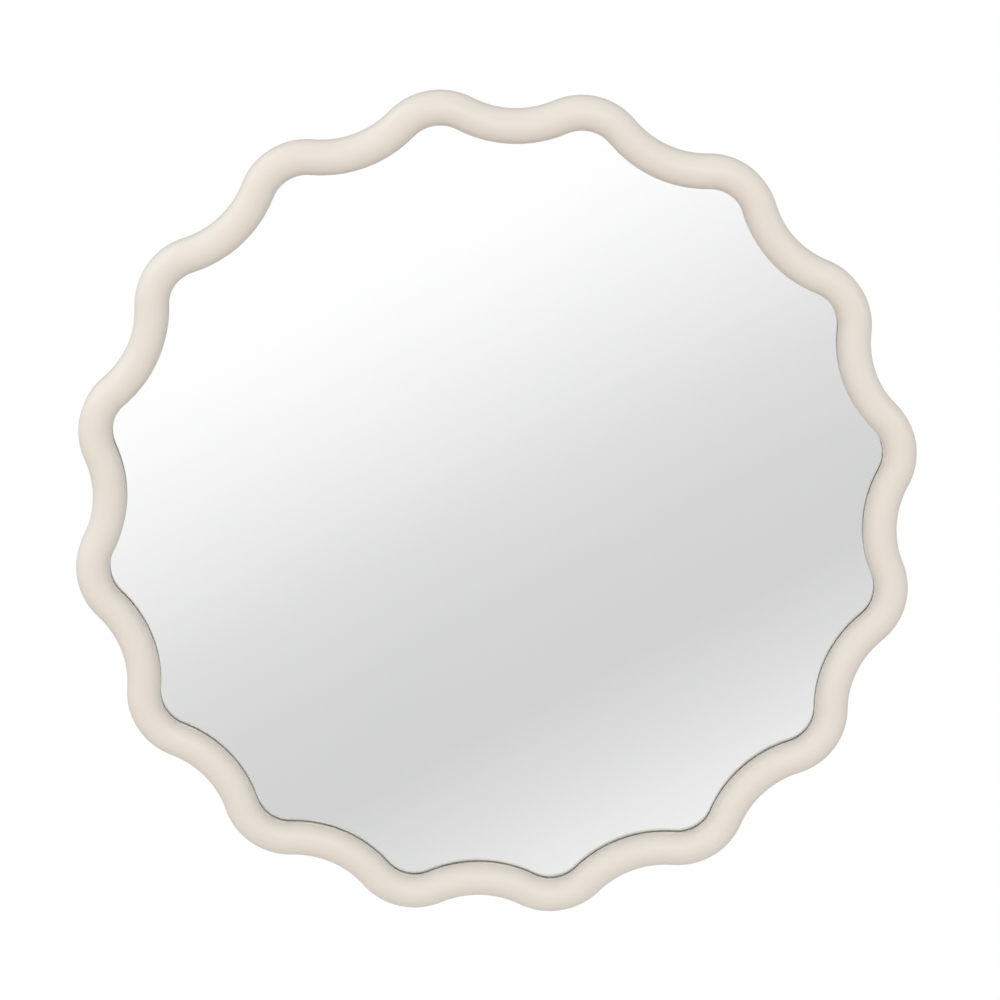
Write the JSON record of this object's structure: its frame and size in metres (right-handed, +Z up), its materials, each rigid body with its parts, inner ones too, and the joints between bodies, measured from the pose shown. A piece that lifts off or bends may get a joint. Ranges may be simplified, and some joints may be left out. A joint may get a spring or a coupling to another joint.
{
  "type": "wavy round wall mirror",
  "caption": "Round wall mirror in a satin cream frame with a wavy edge; back board on turn buttons, hung by swinging D-rings.",
  "frame": {"origin": "centre of the round in X and Z, halfway between the frame's front and the wall in Y", "axes": "+Y towards the wall, the face looks to -Y, +Z up as the mirror hangs, +X to the right of a person facing it"},
  "size_m": [0.7478, 0.0364, 0.7478],
  "materials": {
    "lacquer": "satin cream lacquer over cast resin",
    "glass": "clear float glass",
    "silver": "silvered, with a grey safety film behind",
    "tape": "white closed-cell foam tape",
    "block_rubber": "matte",
    "foam": "soft foam sheet",
    "board": "brown hardboard, smooth side out",
    "plated_steel": "bright zinc plate",
    "bumper_rubber": "pale grey moulded rubber"
  },
  "bodies": {
    "mirror": {"frame_ring": "lacquer", "glazing_tape": "tape", "mirror_glass": "glass", "silvered_film": "silver", "glass_edge_blocks": "block_rubber", "foam_liner": "foam", "backing_board": "board", "turn_button_screws": "plated_steel", "hanger_strap_right": "plated_steel", "hanger_strap_left": "plated_steel", "hanger_screws": "plated_steel", "wall_bumpers": "bumper_rubber", "bumper_screws": "plated_steel"},
    "turn_button_1_body": {"turn_button_1": "plated_steel"},
    "turn_button_2_body": {"turn_button_2": "plated_steel"},
    "turn_button_3_body": {"turn_button_3": "plated_steel"},
    "turn_button_4_body": {"turn_button_4": "plated_steel"},
    "turn_button_5_body": {"turn_button_5": "plated_steel"},
    "turn_button_6_body": {"turn_button_6": "plated_steel"},
    "turn_button_7_body": {"turn_button_7": "plated_steel"},
    "turn_button_8_body": {"turn_button_8": "plated_steel"},
    "hanger_ring_right_body": {"hanger_ring_right": "plated_steel"},
    "hanger_ring_left_body": {"hanger_ring_left": "plated_steel"}
  },
  "joints": [
    {"name": "turn_button_1_swivel", "type": "hinge", "parent": "mirror", "child": "turn_button_1_body", "pos_m": [0.35897, 0.01175, 0.0714], "axis": [0, 1, 0], "range_deg": [-90, 90]},
    {"name": "turn_button_2_swivel", "type": "hinge", "parent": "mirror", "child": "turn_button_2_body", "pos_m": [0.0714, 0.01175, 0.35897], "axis": [0, 1, 0], "range_deg": [-90, 90]},
    {"name": "turn_button_3_swivel", "type": "hinge", "parent": "mirror", "child": "turn_button_3_body", "pos_m": [-0.0714, 0.01175, 0.35897], "axis": [0, 1, 0], "range_deg": [-90, 90]},
    {"name": "turn_button_4_swivel", "type": "hinge", "parent": "mirror", "child": "turn_button_4_body", "pos_m": [-0.35897, 0.01175, 0.0714], "axis": [0, 1, 0], "range_deg": [-90, 90]},
    {"name": "turn_button_5_swivel", "type": "hinge", "parent": "mirror", "child": "turn_button_5_body", "pos_m": [-0.30432, 0.01175, -0.20334], "axis": [0, 1, 0], "range_deg": [-90, 90]},
    {"name": "turn_button_6_swivel", "type": "hinge", "parent": "mirror", "child": "turn_button_6_body", "pos_m": [-0.0714, 0.01175, -0.35897], "axis": [0, 1, 0], "range_deg": [-90, 90]},
    {"name": "turn_button_7_swivel", "type": "hinge", "parent": "mirror", "child": "turn_button_7_body", "pos_m": [0.0714, 0.01175, -0.35897], "axis": [0, 1, 0], "range_deg": [-90, 90]},
    {"name": "turn_button_8_swivel", "type": "hinge", "parent": "mirror", "child": "turn_button_8_body", "pos_m": [0.30432, 0.01175, -0.20334], "axis": [0, 1, 0], "range_deg": [-90, 90]},
    {"name": "hanger_ring_right_swing", "type": "hinge", "parent": "mirror", "child": "hanger_ring_right_body", "pos_m": [0.30418, 0.0143, 0.20084], "axis": [-0.8315, 0, -0.5556], "range_deg": [0, 165]},
    {"name": "hanger_ring_left_swing", "type": "hinge", "parent": "mirror", "child": "hanger_ring_left_body", "pos_m": [-0.30418, 0.0143, 0.20084], "axis": [-0.8315, 0, 0.5556], "range_deg": [0, 165]}
  ]
}
